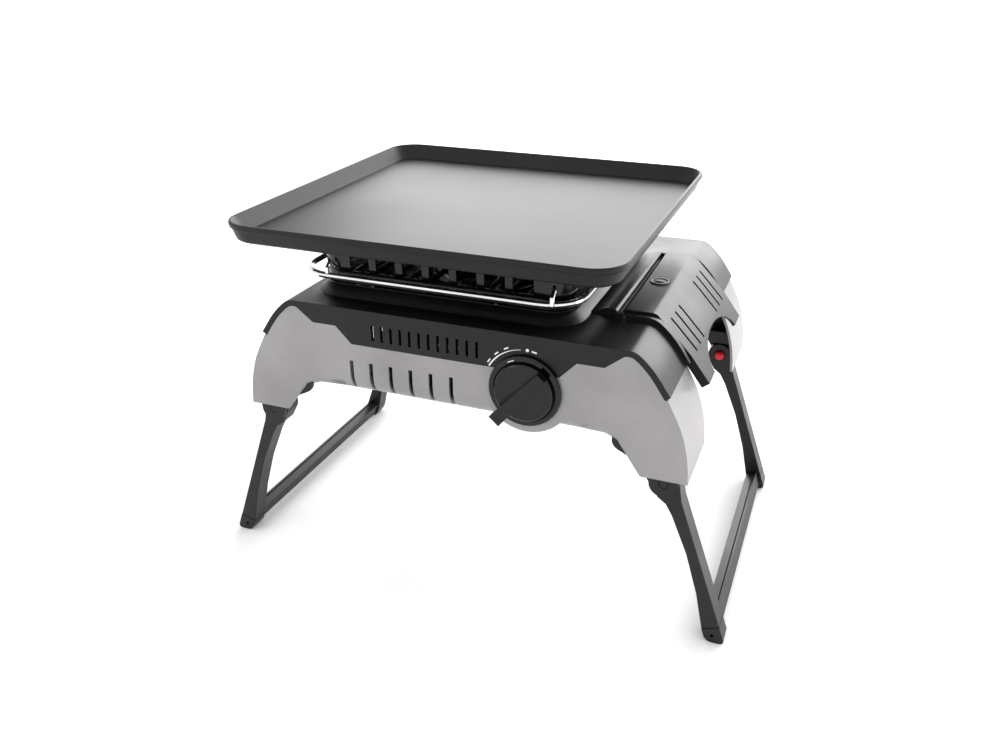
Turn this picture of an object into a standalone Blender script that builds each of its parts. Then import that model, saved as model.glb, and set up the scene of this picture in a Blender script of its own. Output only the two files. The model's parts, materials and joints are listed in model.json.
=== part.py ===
"""Portable gas camping stove with a lift-off griddle and two folding leg frames.

Frame: metres, +Z up, origin on the ground under the middle of the four feet.
+X points to the cartridge end, -Y to the front with the knob.
"""

import math

import bmesh
import bpy
from mathutils import Matrix, Vector

# ---------------------------------------------------------------- driving sizes
BODY_LENGTH = 0.420  # over the tips of the shoulders
BODY_DEPTH = 0.312  # front wall to rear wall, outside
SHOULDER_HEIGHT = 0.160  # ground to the lower edge of a shoulder
BODY_HEIGHT = 0.112  # lower edge of a shoulder to the top of the cover
FLOOR_RISE = 0.028  # lower edge of a shoulder to the underside of the floor
SHELL_WALL = 0.0025
CLEARANCE = 0.0003  # between pieces that touch

COVER_SKIN = 0.003
COVER_EDGE = 0.005  # the deeper front and rear rims of the cover
RIM_WIDTH = 0.004
BOTTOM_RADIUS = 0.020  # where the front wall turns under the body
FLOOR_HALF_LENGTH = 0.143

MASK_BOTTOM = 0.0787  # heights on the front wall, above the shoulder's lower edge
MASK_STEP = 0.0942
MASK_PEAK = 0.1065
MASK_INNER_X = 0.0965
MASK_STEP_X = (0.1116, 0.1347)
MASK_PEAK_X = 0.1505

VENT_COUNT = 12
VENT_PITCH = 0.009
VENT_WIDTH = 0.0024
VENT_HEIGHT = 0.0145
VENT_START_X = -0.075
SLOT_COUNT = 6
SLOT_PITCH = 0.0195
SLOT_WIDTH = 0.0036
SLOT_START_X = -0.098

KNOB_X = 0.068
KNOB_RISE = 0.062  # knob axis above the shoulder's lower edge
KNOB_RADIUS = 0.0262
BEZEL_RADIUS = 0.0322
COLLAR_RADIUS = 0.0405  # the round bulge of the shell behind the knob
SPINDLE_RADIUS = 0.003
SPINDLE_HOLE_RADIUS = 0.025
LEVER_ANGLE = math.radians(228)
LEVER_REACH = 0.0310
LEVER_TAIL = 0.0280
LEVER_WIDTH = 0.0115

LID_HALF_LENGTH = 0.0845
LID_GAP = 0.001
LID_INSET = 0.0795  # lid's hinge edge, in from the end of the body
LID_TIP_HEIGHT = 0.060  # lid's lower edge above the shoulder's lower edge
LID_SKIN = 0.003
LID_EDGE_DEPTH = 0.008
LID_EDGE_WALL = 0.003
LID_NOTCH_HALF_WIDTH = 0.058
LID_NOTCH_HEIGHT = 0.020
LID_SLIT_Y = (0.0335, 0.0500, 0.0665)
LID_SLIT_WIDTH = 0.0032
HINGE_PIN_RADIUS = 0.0012
EMBLEM_RADIUS = 0.009

PLINTH_END_MARGIN = 0.002  # plinth to the crest of the left end
PLINTH_LID_MARGIN = 0.0265  # plinth to the hinge edge of the lid
PLINTH_SIDE_MARGIN = 0.023  # plinth to the front and rear walls
PLINTH_RISE = 0.009
PLINTH_SLOPE = 0.008
PLINTH_LEDGE = 0.014  # plinth's foot to the edge of the burner opening
PLINTH_CORNER = 0.030

TRAY_LIP = 0.006
TRAY_SHEET = 0.0015
TRAY_DEPTH = 0.020
TRAY_HOLE = 0.058
RING_WIRE_RADIUS = 0.003
RING_HEIGHT = 0.019  # wire axis above the top of the cover
STUD_RADIUS = 0.002
SUPPORT_SHEET = 0.0025
SUPPORT_HEIGHT = 0.0425
SUPPORT_FLARE = 0.006
WINDOW_COUNT = 7

GRIDDLE_WIDTH = 0.360
GRIDDLE_DEPTH = 0.360
GRIDDLE_HEIGHT = 0.018
GRIDDLE_OFFSET = -0.006  # griddle's centre from the burner's
GRIDDLE_CORNER = 0.030
GRIDDLE_RECESS = 0.011

BURNER_RADIUS = 0.048
MIXER_RADIUS = 0.009
CARTRIDGE_RADIUS = 0.034
REGULATOR_RADIUS = 0.022

LEG_SPLAY = math.radians(19.8)
PIVOT_INSET = 0.0205  # leg pivot, in from the end of the body
PIVOT_RISE = -0.005  # leg pivot above the shoulder's lower edge
LEG_HEAD_RADIUS = 0.0125
LEG_THICKNESS = 0.019
LEG_INSIDE = 0.0075  # foot's inner edge, across from the line of the leg
LEG_OUTSIDE = 0.0088
FOOT_HEIGHT = 0.0155
BRACKET_SHEET = 0.004
PIN_RADIUS = 0.004
BUTTON_RADIUS = 0.005
BUTTON_STROKE = 0.0025
BAR_HEIGHT = 0.015
BAR_SHEET = 0.003
BAR_FLANGE = 0.009
BAR_RISE = 0.018  # cross bar above the ground, along the leg

SCREW_HEAD_RADIUS = 0.004
SCREW_SHANK_RADIUS = 0.0017
SCREW_HOLE_RADIUS = 0.0021
PLATE_SHEET = 0.0015
PLATE_HALF_LENGTH = 0.108
PLATE_HALF_DEPTH_MARGIN = 0.036  # plate's edge to the front and rear walls

# ------------------------------------------------------------- worked-out places
HALF_LENGTH = BODY_LENGTH / 2
HALF_DEPTH = BODY_DEPTH / 2
BASE_Z = SHOULDER_HEIGHT
TOP_Z = BASE_Z + BODY_HEIGHT
FLOOR_Z = BASE_Z + FLOOR_RISE
FLOOR_TOP = FLOOR_Z + SHELL_WALL
KNOB_Z = BASE_Z + KNOB_RISE
CREST_X = HALF_LENGTH - 0.056
LID_X = HALF_LENGTH - LID_INSET
LID_TOP = TOP_Z + 0.006
HINGE_X = LID_X + 0.003
HINGE_Z = LID_TOP - 0.0045
PLINTH_LEFT = -(CREST_X - PLINTH_END_MARGIN)
PLINTH_RIGHT = LID_X - PLINTH_LID_MARGIN
BURNER_X = (PLINTH_LEFT + PLINTH_RIGHT) / 2
PLINTH_HALF_X = (PLINTH_RIGHT - PLINTH_LEFT) / 2
PLINTH_HALF_Y = HALF_DEPTH - PLINTH_SIDE_MARGIN
PLINTH_TOP = TOP_Z + PLINTH_RISE
OPENING_HALF_X = PLINTH_HALF_X - PLINTH_LEDGE
OPENING_HALF_Y = PLINTH_HALF_Y - PLINTH_LEDGE
TRAY_TOP = PLINTH_TOP + CLEARANCE + TRAY_LIP
SUPPORT_FOOT = PLINTH_TOP + 2 * CLEARANCE + TRAY_SHEET
SUPPORT_TOP = SUPPORT_FOOT + SUPPORT_HEIGHT
GRIDDLE_BOTTOM = SUPPORT_TOP + CLEARANCE
GRIDDLE_TOP = GRIDDLE_BOTTOM + GRIDDLE_HEIGHT
GRIDDLE_X = BURNER_X + GRIDDLE_OFFSET
PIVOT_X = HALF_LENGTH - PIVOT_INSET
PIVOT_Z = BASE_Z + PIVOT_RISE
LEG_LENGTH = PIVOT_Z / math.cos(LEG_SPLAY)
BRACKET_OUTER = HALF_DEPTH - SHELL_WALL - CLEARANCE
LEG_OUTER = BRACKET_OUTER - BRACKET_SHEET - 0.0015
LEG_INNER = LEG_OUTER - LEG_THICKNESS
CARTRIDGE_X = LID_X + 0.0215
CARTRIDGE_Z = FLOOR_TOP + CARTRIDGE_RADIUS + 0.004


# --------------------------------------------------------------------- materials
def linear(hex_colour):
    """Linear RGBA from an sRGB hex string."""
    channels = [int(hex_colour[i : i + 2], 16) / 255 for i in (0, 2, 4)]
    return [c / 12.92 if c <= 0.04045 else ((c + 0.055) / 1.055) ** 2.4 for c in channels] + [1.0]


def material(name, hex_colour, roughness, metallic=0.0):
    made = bpy.data.materials.new(name)
    made.use_nodes = True
    shader = made.node_tree.nodes["Principled BSDF"]
    shader.inputs["Base Color"].default_value = linear(hex_colour)
    shader.inputs["Roughness"].default_value = roughness
    shader.inputs["Metallic"].default_value = metallic
    return made


# ------------------------------------------------------------------ mesh helpers
def loft(rings, closed=False):
    """Skin a list of point rings; open lofts get a flat cap at each end."""
    bm = bmesh.new()
    rows = [[bm.verts.new(point) for point in ring] for ring in rings]
    pairs = list(zip(rows, rows[1:]))
    if closed:
        pairs.append((rows[-1], rows[0]))
    for first, second in pairs:
        for i in range(len(first)):
            j = (i + 1) % len(first)
            bm.faces.new((first[i], first[j], second[j], second[i]))
    if not closed:
        bm.faces.new(rows[0])
        bm.faces.new(rows[-1])
    bmesh.ops.recalc_face_normals(bm, faces=bm.faces)
    return bm


def on_axis(axis, point, along):
    """A 2-D outline point placed at a distance along the X, Y or Z axis."""
    first, second = point
    return {
        "X": Vector((along, first, second)),
        "Y": Vector((first, along, second)),
        "Z": Vector((first, second, along)),
    }[axis]


def prism(outline, axis, low, high):
    """An outline, (y, z), (x, z) or (x, y), pushed straight along its axis."""
    return loft([[on_axis(axis, p, along) for p in outline] for along in (low, high)])


def box(low, high):
    outline = [(low[0], low[1]), (high[0], low[1]), (high[0], high[1]), (low[0], high[1])]
    return prism(outline, "Z", low[2], high[2])


def arc(centre, radius, start, end, steps):
    """Points on a circle; angles in degrees."""
    turned = [math.radians(start + (end - start) * i / steps) for i in range(steps + 1)]
    return [(centre[0] + radius * math.cos(a), centre[1] + radius * math.sin(a)) for a in turned]


def circle(centre, radius, steps):
    return arc(centre, radius, 0, 360 - 360 / steps, steps - 1)


def cylinder(centre, radius, axis, low, high, steps=24):
    return prism(circle(centre, radius, steps), axis, low, high)


def turned(centre, profile, axis, steps=32, closed=False):
    """A round piece from (radius, distance along the axis) pairs."""
    rings = [[on_axis(axis, p, along) for p in circle(centre, r, steps)] for r, along in profile]
    return loft(rings, closed)


def rounded_rectangle(half_x, half_y, radius, steps=5):
    points = []
    for start, sx, sy in ((0, 1, 1), (90, -1, 1), (180, -1, -1), (270, 1, -1)):
        corner = (sx * (half_x - radius), sy * (half_y - radius))
        points += arc(corner, radius, start, start + 90, steps)
    return points


def rectangle_rings(centre, corner, levels, steps=5):
    """Rounded-rectangle rings from (half_x, half_y, z); corners stay concentric."""
    widest = max(level[0] for level in levels)
    rings = []
    for half_x, half_y, z in levels:
        radius = max(corner - (widest - half_x), 0.002)
        outline = rounded_rectangle(half_x, half_y, radius, steps)
        rings.append([Vector((centre[0] + x, centre[1] + y, z)) for x, y in outline])
    return rings


def curve_through(points, steps):
    """A Catmull-Rom curve through 2-D points."""
    ends = [points[0]] + list(points) + [points[-1]]
    found = []
    for a, b, c, d in zip(ends, ends[1:], ends[2:], ends[3:]):
        for i in range(steps):
            t = i / steps
            found.append(
                tuple(
                    0.5
                    * (
                        2 * b[k]
                        + (c[k] - a[k]) * t
                        + (2 * a[k] - 5 * b[k] + 4 * c[k] - d[k]) * t**2
                        + (3 * b[k] - a[k] - 3 * c[k] + d[k]) * t**3
                    )
                    for k in (0, 1)
                )
            )
    return found + [tuple(points[-1])]


def offset(path, distance):
    """An open 2-D path moved to its right-hand side."""
    moved = []
    for i, point in enumerate(path):
        before = Vector(path[max(i - 1, 0)])
        after = Vector(path[min(i + 1, len(path) - 1)])
        along = (after - before).normalized()
        moved.append((point[0] + along.y * distance, point[1] - along.x * distance))
    return moved


def mirrored(path):
    return [(-x, z) for x, z in reversed(path)]


def swept(path, outer, sides, inner=None, closed=False):
    """A round wire or tube along 3-D points."""
    points = [Vector(p) for p in path]
    count = len(points)
    rings = {"outer": [], "inner": []}
    normal = None
    for i, point in enumerate(points):
        before = points[i - 1] if closed or i else points[i]
        after = points[(i + 1) % count] if closed or i < count - 1 else points[i]
        along = (after - before).normalized()
        if normal is None:
            helper = Vector((0, 0, 1)) if abs(along.z) < 0.9 else Vector((1, 0, 0))
            normal = along.cross(helper).normalized()
        normal = (normal - along * normal.dot(along)).normalized()
        side = along.cross(normal)
        for name, radius in (("outer", outer), ("inner", inner)):
            if radius is None:
                continue
            angles = [math.tau * k / sides for k in range(sides)]
            rings[name].append(
                [point + (normal * math.cos(a) + side * math.sin(a)) * radius for a in angles]
            )
    if inner is None:
        return loft(rings["outer"], closed)
    return loft(rings["outer"] + rings["inner"][::-1], closed=True)


def smooth_route(points, steps=5):
    """A Catmull-Rom route through 3-D points."""
    flat = curve_through([(p[0], p[1]) for p in points], steps)
    heights = curve_through([(p[2], 0) for p in points], steps)
    return [(x, y, z) for (x, y), (z, _) in zip(flat, heights)]


# ---------------------------------------------------------------- object helpers
def make(name, bm, finish, origin=(0, 0, 0), sharp=35):
    """Turn a bmesh in world coordinates into an object with its own origin."""
    mesh = bpy.data.meshes.new(name)
    bm.to_mesh(mesh)
    bm.free()
    made = bpy.data.objects.new(name, mesh)
    bpy.context.scene.collection.objects.link(made)
    settle(made, finish, origin, sharp)
    return made


def settle(made, finish, origin, sharp=35):
    mesh = made.data
    mesh.transform(Matrix.Translation(-Vector(origin)))
    made.location = origin
    mesh.materials.clear()
    mesh.materials.append(finish)
    mesh.shade_smooth()
    mesh.set_sharp_from_angle(angle=math.radians(sharp))


def shape(bm):
    """A loose helper object for Boolean work."""
    mesh = bpy.data.meshes.new("shape")
    bm.to_mesh(mesh)
    bm.free()
    made = bpy.data.objects.new("shape", mesh)
    bpy.context.scene.collection.objects.link(made)
    return made


def combine(target, tool, operation):
    """Apply one exact Boolean to the target and drop the tool."""
    step = target.modifiers.new("boolean", "BOOLEAN")
    step.operation = operation
    step.solver = "EXACT"
    step.object = tool
    graph = bpy.context.evaluated_depsgraph_get()
    mesh = bpy.data.meshes.new_from_object(target.evaluated_get(graph))
    target.modifiers.clear()
    bm = bmesh.new()
    bm.from_mesh(mesh)
    bmesh.ops.remove_doubles(bm, verts=bm.verts, dist=2e-6)
    bmesh.ops.dissolve_degenerate(bm, edges=bm.edges, dist=1e-6)
    bmesh.ops.triangulate(bm, faces=bm.faces)
    bm.to_mesh(mesh)
    bm.free()
    old = target.data
    target.data = mesh
    bpy.data.meshes.remove(old)
    spare = tool.data
    bpy.data.objects.remove(tool)
    bpy.data.meshes.remove(spare)
    return target


def cut(target, *tools):
    for bm in tools:
        combine(target, shape(bm), "DIFFERENCE")
    return target


def add(target, *tools):
    for bm in tools:
        combine(target, shape(bm), "UNION")
    return target


def finished(target, name, finish, origin=(0, 0, 0), sharp=35):
    """Name a Boolean result and merge its leftover doubles."""
    bm = bmesh.new()
    bm.from_mesh(target.data)
    bmesh.ops.remove_doubles(bm, verts=bm.verts, dist=1e-6)
    bmesh.ops.dissolve_degenerate(bm, edges=bm.edges, dist=1e-7)
    bm.to_mesh(target.data)
    bm.free()
    target.name = name
    target.data.name = name
    settle(target, finish, origin, sharp)
    return target


# ------------------------------------------------------------------ body outline
def at_end(inset, rise):
    """A point of the right-hand end, from its tip and the shoulder's lower edge."""
    return (HALF_LENGTH - inset, BASE_Z + rise)


def cover_curve():
    """Outer line of the cover over the right-hand end, from crest to lower edge."""
    crest = (CREST_X, TOP_Z)
    return curve_through(
        [crest, at_end(0.0475, 0.1095), at_end(0.0335, 0.0960), at_end(0.0200, 0.0765)], 3
    )


def shoulder_curve():
    """Outer line of the shell from under the cover down to the shoulder's tip."""
    return curve_through(
        [at_end(0.0225, 0.0745), at_end(0.0095, 0.0490), at_end(0.0025, 0.0240), at_end(0, 0)], 3
    )


ARCH_DEEP = ((0.0400, 0.0), (0.0480, 0.010), (0.0560, 0.019), (0.0640, 0.0255), (0.0740, 0.028))
ARCH_FRONT = ((0.0400, 0.0), (0.0475, 0.011), (0.0545, 0.022), (0.0600, 0.033), (0.0700, 0.042))


def arch_outline(lift, widen):
    """Half of the space between two shoulders, foot to middle; lift is 1 at the front wall."""
    side = [
        at_end(a[0] + (b[0] - a[0]) * lift, a[1] + (b[1] - a[1]) * lift)
        for a, b in zip(ARCH_DEEP, ARCH_FRONT)
    ]
    roof = FLOOR_Z + BOTTOM_RADIUS * lift
    half = [(side[0][0], BASE_Z - 0.02)] + side + [(0.110, roof), (0.0, roof)]
    return offset(half, widen)


# ------------------------------------------------------------------------- shell
def tunnel(widen):
    """The space under the body; its roof rolls up into the front and rear walls."""
    steps = 5
    angles = [math.pi / 2 * i / steps for i in range(steps + 1)]
    stations = [(-HALF_DEPTH - 0.01, 1.0)]
    stations += [
        (-HALF_DEPTH + BOTTOM_RADIUS * (1 - math.cos(a)) + widen, 1 - math.sin(a)) for a in angles
    ]
    rings = []
    for y, lift in stations:
        half = arch_outline(lift, widen)
        rings.append([Vector((x, y, z)) for x, z in half[:-1] + mirrored(half)])
    rings += [[Vector((p.x, -p.y, p.z)) for p in ring] for ring in reversed(rings)]
    return loft(rings)


def mask_lower_line(gap):
    """Lower line of the black front mask, from the right-hand end to the middle."""
    rim = [p for p in offset(cover_curve(), COVER_EDGE + gap) if p[0] > MASK_PEAK_X - gap]
    return rim[::-1] + [
        (MASK_PEAK_X + gap, BASE_Z + MASK_PEAK - gap),
        (MASK_STEP_X[1] + gap, BASE_Z + MASK_STEP - gap),
        (MASK_STEP_X[0] + gap, BASE_Z + MASK_STEP - gap),
        (MASK_INNER_X + gap, BASE_Z + MASK_BOTTOM - gap),
    ]


def build_lower_shell(finish):
    under_cover = offset(cover_curve(), COVER_EDGE + CLEARANCE)
    right = under_cover + shoulder_curve()
    outline = mirrored(right) + right
    shell = shape(prism(outline, "Y", -HALF_DEPTH, HALF_DEPTH))
    collar = (KNOB_X, KNOB_Z)
    front = -HALF_DEPTH
    bulge = [
        (COLLAR_RADIUS - 0.002, front),
        (COLLAR_RADIUS, front + 0.002),
        (COLLAR_RADIUS, front + 0.018),
        (COLLAR_RADIUS - 0.004, front + 0.022),
    ]
    cut(shell, tunnel(0.0))
    add(shell, turned(collar, bulge, "Y", 40))

    inner_right = offset(right, SHELL_WALL)
    inner_right = [(inner_right[0][0], TOP_Z + 0.02)] + inner_right
    inner_right.append((inner_right[-1][0], BASE_Z - 0.02))
    room_half_depth = HALF_DEPTH - SHELL_WALL
    cavity = shape(prism(mirrored(inner_right) + inner_right, "Y", -room_half_depth, room_half_depth))
    floor = shape(tunnel(SHELL_WALL))
    keep = shape(box((-FLOOR_HALF_LENGTH, -1, 0), (FLOOR_HALF_LENGTH, 1, 1)))
    combine(floor, keep, "INTERSECT")
    combine(cavity, floor, "DIFFERENCE")
    hollow = COLLAR_RADIUS - SHELL_WALL
    add(cavity, cylinder(collar, hollow, "Y", front + SHELL_WALL + 0.0004, front + 0.0195, 40))
    combine(shell, cavity, "DIFFERENCE")

    line = mask_lower_line(CLEARANCE)
    top = [(line[0][0] + 0.02, line[0][1]), (line[0][0] + 0.02, TOP_Z + 0.02)]
    mask = line[::-1] + top
    mask = mirrored(mask) + mask
    for y in (-HALF_DEPTH, HALF_DEPTH):
        cut(shell, prism(mask, "Y", y - 0.0055, y + 0.0055))

    for i in range(SLOT_COUNT):
        x = SLOT_START_X + i * SLOT_PITCH
        low = (x - SLOT_WIDTH / 2, -HALF_DEPTH - 0.01, FLOOR_Z - 0.01)
        high = (x + SLOT_WIDTH / 2, -HALF_DEPTH + 0.022, FLOOR_Z + 0.034)
        cut(shell, box(low, high))
    cut(shell, cylinder(collar, SPINDLE_HOLE_RADIUS, "Y", -HALF_DEPTH - 0.01, -HALF_DEPTH + 0.01))

    cut(shell, box((FLOOR_HALF_LENGTH + 0.001, -LID_HALF_LENGTH + 0.005, BASE_Z - 0.01),
                   (HALF_LENGTH + 0.01, LID_HALF_LENGTH - 0.005, TOP_Z + 0.01)))
    half = arc((0, BASE_Z), 0.050, 0, 180, 14)
    opening = [(0.080, BASE_Z - 0.01)] + [(y * 1.6, z) for y, z in half] + [(-0.080, BASE_Z - 0.01)]
    cut(shell, prism(opening, "X", -HALF_LENGTH - 0.01, -FLOOR_HALF_LENGTH - 0.006))

    hatch_y = HALF_DEPTH - PLATE_HALF_DEPTH_MARGIN - 0.010
    hatch_x = PLATE_HALF_LENGTH - 0.010
    below, above = FLOOR_Z - 0.005, FLOOR_TOP + 0.005
    cut(shell, prism(rounded_rectangle(hatch_x, hatch_y, 0.008, 3), "Z", below, above))
    for x, y in plate_screw_places():
        cut(shell, cylinder((x, y), SCREW_HOLE_RADIUS, "Z", below, above, 12))
    return finished(shell, "lower_shell", finish)


def plate_screw_places():
    half_y = HALF_DEPTH - PLATE_HALF_DEPTH_MARGIN
    inset = 0.005
    x = PLATE_HALF_LENGTH - inset
    return [(sx * x, sy * (half_y - inset)) for sx in (-1, 1) for sy in (-1, 1)]


# ------------------------------------------------------------------------- cover
def build_top_cover(finish):
    outer = cover_curve()
    rim = offset(outer, COVER_EDGE)
    skin = offset(outer, COVER_SKIN)
    strip = mirrored(outer) + outer + rim[::-1] + mirrored(rim)[::-1]
    cover = shape(prism(strip, "Y", -HALF_DEPTH, HALF_DEPTH))
    tip = (skin[-1][0] + 0.004, skin[-1][1] - 0.012)
    under = [(CREST_X, BASE_Z + 0.05)] + [tip] + skin[::-1]
    under = under + mirrored(under)
    inside_y = HALF_DEPTH - RIM_WIDTH
    cut(cover, prism(under, "Y", -inside_y, inside_y))
    line = mask_lower_line(0.0)
    plate = [(x, z) for x, z in line if x <= MASK_PEAK_X + 0.0001]
    plate = [(MASK_PEAK_X, TOP_Z - 0.001)] + plate
    plate = plate[::-1] + mirrored(plate[::-1])
    for y in (-HALF_DEPTH, HALF_DEPTH - 0.004):
        add(cover, prism(plate, "Y", y, y + 0.004))

    rib_in = LID_HALF_LENGTH + LID_GAP
    rib_out = rib_in + 0.0065
    last = tuple(0.85 * outer[-1][k] + 0.15 * outer[-2][k] for k in (0, 1))
    crown = outer[:-1] + [last]
    strip = [(LID_X - 0.0052, TOP_Z + 0.004)] + offset(crown, -0.004)
    strip += offset(crown, 0.0012)[::-1] + [(LID_X - 0.0052, TOP_Z - 0.0012)]
    for low, high in ((-rib_out, -rib_in), (rib_in, rib_out)):
        add(cover, prism(strip, "Y", low, high))

    centre = (BURNER_X, 0)
    grown = 0.001
    foot = TOP_Z - grown
    levels = [
        (PLINTH_HALF_X, PLINTH_HALF_Y, foot),
        (PLINTH_HALF_X, PLINTH_HALF_Y, TOP_Z),
        (PLINTH_HALF_X - PLINTH_SLOPE, PLINTH_HALF_Y - PLINTH_SLOPE, PLINTH_TOP - 0.0015),
        (PLINTH_HALF_X - PLINTH_SLOPE - 0.002, PLINTH_HALF_Y - PLINTH_SLOPE - 0.002, PLINTH_TOP),
    ]
    add(cover, loft(rectangle_rings(centre, PLINTH_CORNER, levels)))
    ledge = [
        (PLINTH_RIGHT - 0.006, TOP_Z - grown),
        (LID_X - 0.0145, TOP_Z + 0.0055),
        (LID_X - 0.0060, TOP_Z + 0.0055),
        (LID_X - 0.0040, TOP_Z + 0.0035),
        (LID_X - 0.0040, TOP_Z - grown),
    ]
    add(cover, prism(ledge, "Y", -LID_HALF_LENGTH - 0.002, LID_HALF_LENGTH + 0.002))
    inner_levels = [
        (PLINTH_HALF_X - 0.013, PLINTH_HALF_Y - 0.013, TOP_Z - 0.02),
        (PLINTH_HALF_X - 0.013, PLINTH_HALF_Y - 0.013, PLINTH_TOP - COVER_SKIN),
    ]
    cut(cover, loft(rectangle_rings(centre, PLINTH_CORNER, inner_levels)))
    opening = [(OPENING_HALF_X, OPENING_HALF_Y, TOP_Z - 0.02), (OPENING_HALF_X, OPENING_HALF_Y, TOP_Z + 0.02)]
    cut(cover, loft(rectangle_rings(centre, PLINTH_CORNER - PLINTH_LEDGE, opening)))
    cut(cover, box((LID_X - 0.0028, -rib_in, BASE_Z), (HALF_LENGTH + 0.02, rib_in, TOP_Z + 0.02)))
    for side in (-1, 1):
        far = side * (rib_out + 0.005)
        near = side * (rib_in - 0.001)
        pin = cylinder((HINGE_X, HINGE_Z), HINGE_PIN_RADIUS + CLEARANCE, "Y", min(far, near), max(far, near), 12)
        cut(cover, pin)
    for i in range(VENT_COUNT):
        x = VENT_START_X + i * VENT_PITCH
        middle = TOP_Z - 0.0202
        for y in (-HALF_DEPTH, HALF_DEPTH):
            low = (x - VENT_WIDTH / 2, y - 0.01, middle - VENT_HEIGHT / 2)
            high = (x + VENT_WIDTH / 2, y + 0.01, middle + VENT_HEIGHT / 2)
            cut(cover, box(low, high))
    return finished(cover, "top_cover", finish)


# --------------------------------------------------------------------------- lid
def lid_curve():
    return [
        (LID_X, LID_TOP - 0.0025),
        (LID_X + 0.0025, LID_TOP),
        (CREST_X + 0.0025, LID_TOP),
        (CREST_X + 0.0065, LID_TOP - 0.0012),
        (CREST_X + 0.0200, LID_TOP - 0.0145),
        (CREST_X + 0.0385, LID_TOP - 0.0345),
        (HALF_LENGTH, BASE_Z + LID_TIP_HEIGHT + 0.0005),
    ]


def build_lid(finish):
    outer = lid_curve()
    deep = [(LID_X, LID_TOP - LID_EDGE_DEPTH), (CREST_X + 0.0015, LID_TOP - LID_EDGE_DEPTH)]
    deep += offset(outer, LID_EDGE_DEPTH)[4:]
    skin = offset(outer, LID_SKIN)
    lid = shape(prism(outer + deep[::-1], "Y", -LID_HALF_LENGTH, LID_HALF_LENGTH))
    room = [(LID_X + LID_EDGE_WALL, LID_TOP - LID_SKIN)] + skin[2:]
    last = room[-1]
    room.append((last[0] + 0.02, last[1] - 0.02))
    room += [(last[0] - 0.02, last[1] - 0.03), (LID_X + LID_EDGE_WALL, LID_TOP - 0.02)]
    wall = LID_HALF_LENGTH - LID_EDGE_WALL
    cut(lid, prism(room, "Y", -wall, wall))
    tip_z = BASE_Z + LID_TIP_HEIGHT
    notch = [(y * LID_NOTCH_HALF_WIDTH, tip_z + z * LID_NOTCH_HEIGHT) for y, z in circle((0, 0), 1.0, 36)]
    cut(lid, prism(notch, "X", HALF_LENGTH - 0.05, HALF_LENGTH + 0.02))
    for y in LID_SLIT_Y:
        for side in (-1, 1):
            low = (CREST_X + 0.015, side * y - LID_SLIT_WIDTH / 2, LID_TOP - 0.050)
            high = (CREST_X + 0.040, side * y + LID_SLIT_WIDTH / 2, LID_TOP)
            cut(lid, box(low, high))
    seat = cylinder((LID_X + 0.0145, -0.005), EMBLEM_RADIUS + CLEARANCE, "Z", LID_TOP - 0.0009, LID_TOP + 0.01, 28)
    cut(lid, seat)
    axis = (HINGE_X, HINGE_Z)
    for side in (-1, 1):
        near, far = sorted((side * (wall + 0.0005), side * (wall - 0.0035)))
        low = (LID_X + 0.0005, near, LID_TOP - LID_EDGE_DEPTH + 0.0005)
        add(lid, box(low, (LID_X + 0.0065, far, LID_TOP - 0.0015)))
        near, far = sorted((side * (wall - 0.005), side * (LID_HALF_LENGTH + 0.001)))
        cut(lid, cylinder(axis, HINGE_PIN_RADIUS + CLEARANCE, "Y", near, far, 12))
    return finished(lid, "cartridge_lid", finish, (HINGE_X, 0, HINGE_Z))


def build_lid_parts(black, steel):
    base = LID_TOP - 0.0009 + CLEARANCE
    place = (LID_X + 0.0145, -0.005)
    radius = EMBLEM_RADIUS
    profile = [(radius, base), (radius, base + 0.0009), (radius - 0.0004, base + 0.0013)]
    profile += [(radius - 0.0016, base + 0.0013), (radius - 0.0018, base + 0.0009)]
    profile += [(0.0045, base + 0.0009), (0.0040, base + 0.0012)]
    make("lid_emblem", turned(place, profile, "Z", 28), black)
    for name, side in (("front", -1), ("rear", 1)):
        near, far = sorted((side * (LID_HALF_LENGTH - 0.0055), side * (LID_HALF_LENGTH + 0.0062)))
        pin = cylinder((HINGE_X, HINGE_Z), HINGE_PIN_RADIUS, "Y", near, far, 12)
        make("lid_hinge_pin_" + name, pin, steel, (HINGE_X, side * LID_HALF_LENGTH, HINGE_Z))


# ---------------------------------------------------------------- burner and tray
def build_drip_tray(finish):
    centre = (BURNER_X, 0)
    half_x = OPENING_HALF_X - 0.0006
    half_y = OPENING_HALF_Y - 0.0006
    rest = PLINTH_TOP + CLEARANCE
    floor = rest - TRAY_DEPTH
    corner = 0.024
    sheet = TRAY_SHEET
    wide = 0.0075
    levels = [
        (half_x - 0.006, half_y - 0.006, floor),
        (half_x, half_y, floor + 0.006),
        (half_x, half_y, rest),
        (half_x + wide, half_y + wide, rest),
        (half_x + wide, half_y + wide, rest + sheet),
        (half_x - sheet, half_y - sheet, rest + sheet),
        (half_x - sheet, half_y - sheet, floor + 0.006 + sheet / 2),
        (half_x - 0.006 - sheet / 2, half_y - 0.006 - sheet / 2, floor + sheet),
    ]
    tray = shape(loft(rectangle_rings(centre, corner, levels)))
    cut(tray, cylinder(centre, TRAY_HOLE, "Z", floor - 0.01, floor + 0.02, 40))
    lip = turned(
        centre,
        [
            (TRAY_HOLE + 0.004, floor + 0.0004),
            (TRAY_HOLE + 0.004, floor + 0.0055),
            (TRAY_HOLE - 0.0005, floor + 0.0055),
            (TRAY_HOLE - 0.0005, floor + 0.0004),
        ],
        "Z",
        40,
        closed=True,
    )
    add(tray, lip)
    return finished(tray, "drip_tray", finish, (BURNER_X, 0, rest))


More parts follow.
